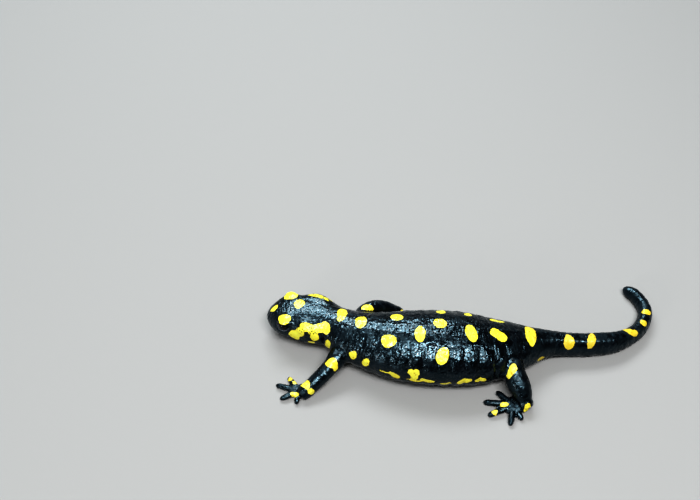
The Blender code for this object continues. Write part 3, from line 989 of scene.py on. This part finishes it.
# ==== Floor, light and camera ================================================================
# A plain pale floor sweeps up at a distance, higher behind the animal than before it. Two wide
# soft boxes, behind and overhead, lay long highlights on back and flank, a small one lights the
# face, and the room is brighter above and towards the head.
SWEEP_STARTS = 0.75
SWEEP_ENDS = 1.05
BACK_HEIGHT = 0.40
FRONT_HEIGHT = 0.16
FLOOR_GREY = (0.252, 0.241, 0.235, 1)
floor_mesh = bpy.data.meshes.new("floor")
floor_shape = bmesh.new()
bmesh.ops.create_grid(floor_shape, x_segments=200, y_segments=200, size=3.0)
for corner in floor_shape.verts:
    x, y = corner.co.x, corner.co.y
    away = math.hypot(x, y)
    round_from_back = abs(math.degrees(math.atan2(x + y, y - x)))
    height = BACK_HEIGHT + (FRONT_HEIGHT - BACK_HEIGHT) * step_up(75, 115, round_from_back)
    corner.co.z = height * step_up(SWEEP_STARTS, SWEEP_ENDS, away)
floor_shape.to_mesh(floor_mesh)
floor_shape.free()
floor_mesh.shade_smooth()
floor = bpy.data.objects.new("floor", floor_mesh)
bpy.context.scene.collection.objects.link(floor)
floor_finish = bpy.data.materials.new("pale_floor")
floor_finish.use_nodes = True
floor_shader = floor_finish.node_tree.nodes["Principled BSDF"]
floor_shader.inputs["Base Color"].default_value = FLOOR_GREY
floor_shader.inputs["Roughness"].default_value = 0.85
floor_mesh.materials.append(floor_finish)


def soft_light(name, azimuth, elevation, distance, width, depth, watts, tint):
    """A rectangular soft box that faces the animal; azimuth 0 is the camera's side."""
    a, e = math.radians(azimuth), math.radians(elevation)
    direction = Vector((math.sin(a) * math.cos(e), -math.cos(a) * math.cos(e), math.sin(e)))
    lamp = bpy.data.lights.new(name, "AREA")
    lamp.shape = "RECTANGLE"
    lamp.size = width
    lamp.size_y = depth
    lamp.energy = watts
    lamp.color = tint
    holder = bpy.data.objects.new(name, lamp)
    holder.location = direction * distance
    holder.rotation_euler = direction.to_track_quat("Z", "Y").to_euler()
    bpy.context.scene.collection.objects.link(holder)


soft_light("sky_behind", azimuth=-165, elevation=48, distance=0.9, width=0.65, depth=0.24,
           watts=5.5, tint=(0.90, 0.97, 1.0))
soft_light("sky_above", azimuth=10, elevation=70, distance=0.9, width=0.70, depth=0.22,
           watts=8.3, tint=(0.96, 0.99, 1.0))
soft_light("window", azimuth=-45, elevation=16, distance=0.9, width=0.18, depth=0.18,
           watts=1.1, tint=(1.0, 1.0, 1.0))

ROOM_DARK = (0.07, 0.07, 0.07, 1)
ROOM_LIT = (0.38, 0.46, 0.48, 1)
world = bpy.data.worlds.new("room")
world.use_nodes = True
room = Bench(world.node_tree)


def direction_seen(axis):
    """How far a direction in the room points along one axis."""
    direction = room.put("ShaderNodeTexCoord", out="Generated")
    return room.put("ShaderNodeSeparateXYZ", {"Vector": direction}, out=axis)


lit = room.times(room.ramp(direction_seen("Z"), 0.1, 0.95),
                 room.ramp(direction_seen("X"), -0.15, 0.55, 1.0, 0.0))
room_light = room.blend(lit, ROOM_DARK, ROOM_LIT)
world.node_tree.links.new(room_light, world.node_tree.nodes["Background"].inputs["Color"])
bpy.context.scene.world = world

SENSOR_WIDTH = 36.0
LENS = 43.71
CAMERA_PLACE = (-0.0399, -0.19884, 0.31094)
CAMERA_TILT = 40.0
camera_data = bpy.data.cameras.new("camera")
camera_data.sensor_width = SENSOR_WIDTH
camera_data.lens = LENS
camera_data.clip_start = 0.01
camera = bpy.data.objects.new("camera", camera_data)
camera.location = CAMERA_PLACE
camera.rotation_euler = (math.radians(CAMERA_TILT), 0.0, 0.0)
bpy.context.scene.collection.objects.link(camera)
bpy.context.scene.camera = camera
bpy.context.scene.view_settings.view_transform = "Standard"
bpy.context.scene.view_settings.look = "Very High Contrast"
